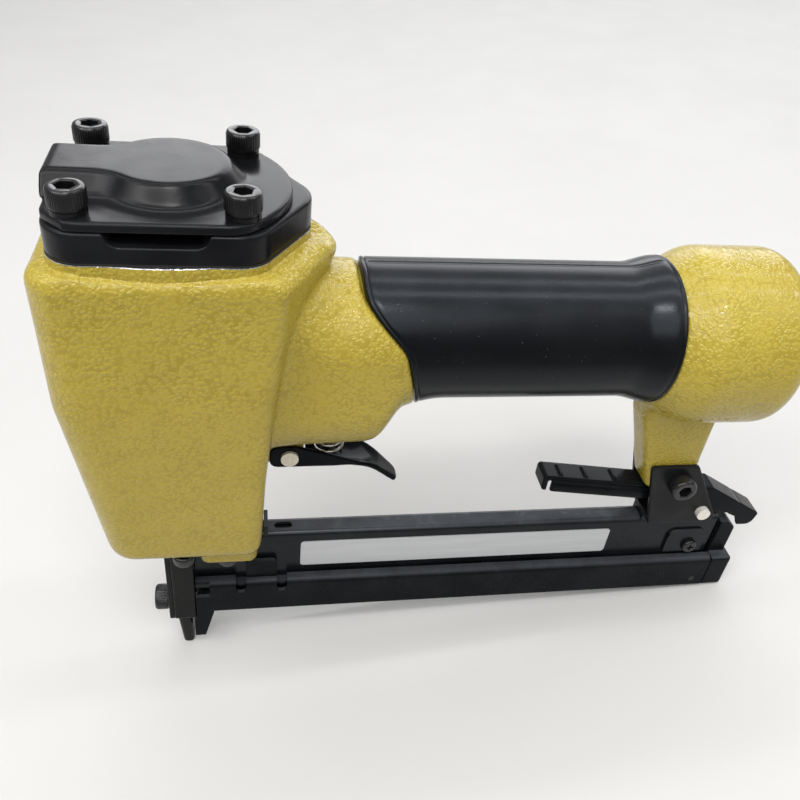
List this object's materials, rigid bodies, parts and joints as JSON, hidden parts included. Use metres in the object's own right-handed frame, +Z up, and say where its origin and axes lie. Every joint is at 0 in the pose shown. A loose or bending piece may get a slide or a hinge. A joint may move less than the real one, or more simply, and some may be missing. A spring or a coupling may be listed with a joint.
{
  "type": "pneumatic stapler",
  "caption": "Hand-held pneumatic stapler with an upright driving head, rubber-covered handle, rear air inlet, trigger, and a magazine below that slides out behind a latch.",
  "frame": {"origin": "on the drive axis, level with the tip of the nose", "axes": "+Z up along the drive axis, +X from the nose towards the rear of the handle, Y = 0 is the middle plane"},
  "size_m": [0.2336, 0.054, 0.1805],
  "materials": {
    "body_enamel": "gloss hammertone enamel, mustard yellow, on a die casting",
    "grip_rubber": "satin charcoal rubber",
    "cap_enamel": "gloss black enamel",
    "gasket_sheet": "thin matt sheet",
    "black_screws": "black oxide",
    "washer_steel": "dark phosphated spring steel",
    "cylinder_aluminium": "honed",
    "seal_rubber": "smooth nitrile",
    "bumper_rubber": "matt",
    "driver_steel": "ground",
    "valve_plastic": "moulded acetal",
    "spring_steel": "bright spring wire",
    "inlet_steel": "plated",
    "trigger_steel": "gloss black, pressed sheet",
    "trigger_pin_steel": "plain steel pin, warm grey end",
    "valve_brass": "turned",
    "nose_steel": "satin black, hardened",
    "rail_steel": "satin black",
    "plate_aluminium": "brushed bare plate",
    "magazine_steel": "satin black",
    "rivet_steel": "blackened",
    "core_steel": "plain",
    "pusher_steel": "plain",
    "bracket_steel": "satin black, pressed sheet",
    "lever_steel": "gloss black, pressed sheet",
    "latch_pin_steel": "bright"
  },
  "bodies": {
    "tool": {"body_housing": "body_enamel", "grip_sleeve": "grip_rubber", "cylinder_cap": "cap_enamel", "exhaust_plate": "cap_enamel", "cap_gasket": "gasket_sheet", "cap_bolts": "black_screws", "nose_bolt": "black_screws", "guide_screws": "black_screws", "rail_screws": "black_screws", "bracket_bolt": "black_screws", "bracket_nut": "black_screws", "rail_end_screw": "black_screws", "cap_spring_washers": "washer_steel", "cylinder_sleeve": "cylinder_aluminium", "sleeve_seal": "seal_rubber", "valve_plug_seals": "seal_rubber", "inlet_sealing_ring": "seal_rubber", "bumper": "bumper_rubber", "cover_dowel": "driver_steel", "valve_retainer": "valve_plastic", "head_valve_spring": "spring_steel", "trigger_spring": "spring_steel", "valve_stem_spring": "spring_steel", "latch_spring": "spring_steel", "inlet_plug": "inlet_steel", "trigger_pin": "trigger_pin_steel", "trigger_valve_plug": "valve_brass", "driver_guide": "nose_steel", "nose_cover_plate": "nose_steel", "fixed_rail": "rail_steel", "rail_end_plate": "rail_steel", "side_plate": "plate_aluminium", "latch_bracket": "bracket_steel", "latch_pin": "latch_pin_steel"},
    "trigger": {"trigger": "trigger_steel"},
    "valve_stem": {"valve_stem": "valve_brass"},
    "latch": {"latch_lever": "lever_steel"},
    "magazine": {"sliding_magazine": "magazine_steel", "magazine_end_cap": "magazine_steel", "end_cap_rivets": "rivet_steel", "core_rail": "core_steel", "pusher_rod": "core_steel", "pusher_spring": "spring_steel"},
    "pusher": {"pusher": "pusher_steel"},
    "driver": {"piston": "cylinder_aluminium", "piston_seal": "seal_rubber", "driver_blade": "driver_steel", "driver_pin": "driver_steel"},
    "head_valve": {"head_valve": "valve_plastic", "head_valve_seal": "seal_rubber"}
  },
  "joints": [
    {"name": "trigger_hinge", "type": "hinge", "parent": "tool", "child": "trigger", "pos_m": [0.0313, 0, 0.0899], "axis": [0, -1, 0], "range_deg": [0, 10], "stiffness_Nm_per_rad": 0.4, "springref_deg": -5.73, "deforming": ["trigger_spring"]},
    {"name": "valve_stem_slide", "type": "slide", "parent": "tool", "child": "valve_stem", "axis": [0, 0, 1], "range_m": [0, 0.0022], "deforming": ["valve_stem_spring"]},
    {"name": "latch_hinge", "type": "hinge", "parent": "tool", "child": "latch", "pos_m": [0.1759, 0, 0.0618], "axis": [0, -1, 0], "range_deg": [0, 10], "stiffness_Nm_per_rad": 0.3, "springref_deg": -8.59, "deforming": ["latch_spring"]},
    {"name": "magazine_slide", "type": "slide", "parent": "tool", "child": "magazine", "axis": [1, 0, 0], "range_m": [0, 0.11]},
    {"name": "pusher_slide", "type": "slide", "parent": "magazine", "child": "pusher", "axis": [1, 0, 0], "range_m": [0, 0.11], "stiffness_N_per_m": 60, "springref_m": -0.03, "deforming": ["pusher_spring"]},
    {"name": "driver_slide", "type": "slide", "parent": "tool", "child": "driver", "axis": [0, 0, -1], "range_m": [0, 0.054]},
    {"name": "head_valve_slide", "type": "slide", "parent": "tool", "child": "head_valve", "axis": [0, 0, 1], "range_m": [0, 0.0038], "stiffness_N_per_m": 400, "springref_m": -0.005, "deforming": ["head_valve_spring"]}
  ],
  "couplings": [
    {"joint": "valve_stem_slide", "follows": "trigger_hinge", "m_per_rad": 0.0123}
  ]
}
